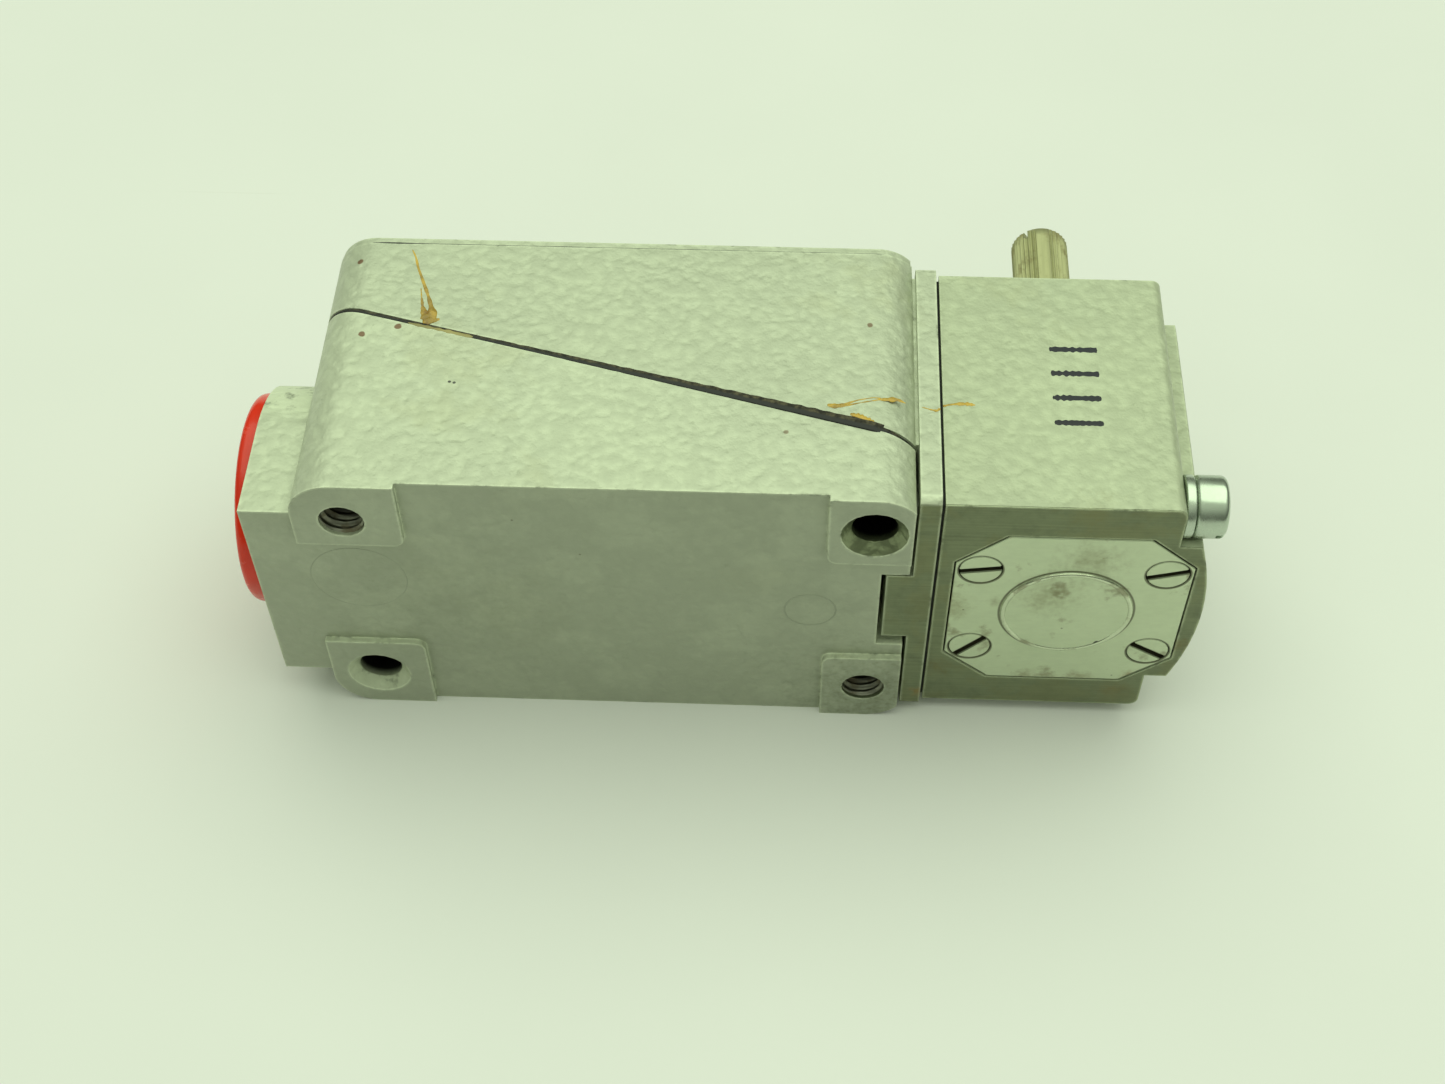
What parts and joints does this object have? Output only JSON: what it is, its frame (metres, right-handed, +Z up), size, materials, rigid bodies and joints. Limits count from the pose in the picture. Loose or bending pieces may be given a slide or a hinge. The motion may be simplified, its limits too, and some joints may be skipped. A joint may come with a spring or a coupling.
{
  "type": "limit switch",
  "caption": "Heavy-duty plug-in limit switch with rotary head, bare splined shaft, wedge-split cast body and plugged conduit entry.",
  "frame": {"origin": "middle of the underside of the bounding box, with the switch lying on one long side", "axes": "+X along the switch from the conduit end to the head, +Y from the mounting face to the shaft tip, +Z up"},
  "size_m": [0.1132, 0.062, 0.0424],
  "materials": {
    "hammered_paint": "silver-grey hammered enamel on die-cast zinc, semi-gloss",
    "zinc_plate": "bright zinc-plated steel sheet, stained and lightly scratched",
    "zinc_screw": "zinc-plated steel, worn",
    "shaft_steel": "yellow-passivated steel, dull",
    "hard_steel": "ground steel",
    "spring_steel": "drawn wire",
    "bronze": "sintered bronze",
    "brass": "stamped brass",
    "silver_contact": "silver-faced strip",
    "black_rubber": "matt nitrile rubber",
    "black_phenolic": "moulded thermoset",
    "red_plastic": "glossy slightly translucent polyethylene"
  },
  "bodies": {
    "root": {"base_housing": "hammered_paint", "captive_screw_1": "zinc_screw", "captive_screw_2": "zinc_screw", "carrier_spring": "spring_steel", "conduit_thread_plug": "red_plastic", "contact_case": "black_phenolic", "cover_plate": "zinc_plate", "fixed_contact_1": "silver_contact", "fixed_contact_2": "silver_contact", "fixed_contact_3": "silver_contact", "fixed_contact_4": "silver_contact", "front_plate": "hammered_paint", "head_gasket": "black_rubber", "head_housing": "hammered_paint", "head_screw_1": "zinc_screw", "head_screw_2": "zinc_screw", "head_screw_washer_1": "zinc_screw", "head_screw_washer_2": "zinc_screw", "overtravel_spring": "spring_steel", "plate_gasket": "black_rubber", "plate_screw_1": "zinc_screw", "plate_screw_2": "zinc_screw", "plate_screw_3": "zinc_screw", "plate_screw_4": "zinc_screw", "plug_blade_1": "brass", "plug_blade_2": "brass", "plug_blade_3": "brass", "plug_blade_4": "brass", "plunger_seal": "black_rubber", "return_spring": "spring_steel", "shaft_bush_far": "bronze", "shaft_bush_near": "bronze", "shaft_o_ring": "black_rubber", "socket_contact_1": "brass", "socket_contact_2": "brass", "socket_contact_3": "brass", "socket_contact_4": "brass", "switch_housing": "hammered_paint", "terminal_block": "black_phenolic", "terminal_screw_1": "zinc_screw", "terminal_screw_2": "zinc_screw", "terminal_screw_3": "zinc_screw", "terminal_screw_4": "zinc_screw", "wedge_gasket": "black_rubber"},
    "shaft_unit": {"shaft": "shaft_steel", "cam": "hard_steel", "cam_pin": "hard_steel"},
    "tappet_unit": {"tappet": "hard_steel"},
    "plunger_unit": {"switch_plunger": "hard_steel"},
    "carrier_unit": {"contact_carrier": "black_phenolic", "contact_bridge_1": "silver_contact", "contact_bridge_2": "silver_contact"}
  },
  "joints": [
    {"name": "shaft_turn", "type": "hinge", "parent": "root", "child": "shaft_unit", "pos_m": [0.04052, 0, 0.0212], "axis": [0, 1, 0], "range_deg": [0, 60], "stiffness_Nm_per_rad": 0.15, "springref_deg": -28.65, "deforming": ["return_spring"]},
    {"name": "tappet_slide", "type": "slide", "parent": "root", "child": "tappet_unit", "axis": [-1, 0, 0], "range_m": [0, 0.0026]},
    {"name": "plunger_slide", "type": "slide", "parent": "root", "child": "plunger_unit", "axis": [-1, 0, 0], "range_m": [0, 0.0026], "deforming": ["overtravel_spring"]},
    {"name": "carrier_slide", "type": "slide", "parent": "root", "child": "carrier_unit", "axis": [-1, 0, 0], "range_m": [0, 0.0013], "deforming": ["carrier_spring"]}
  ],
  "couplings": [
    {"joint": "tappet_slide", "follows": "shaft_turn", "m_per_rad": 0.0024828},
    {"joint": "plunger_slide", "follows": "shaft_turn", "m_per_rad": 0.0024828},
    {"joint": "carrier_slide", "follows": "shaft_turn", "m_per_rad": 0.0012414}
  ]
}
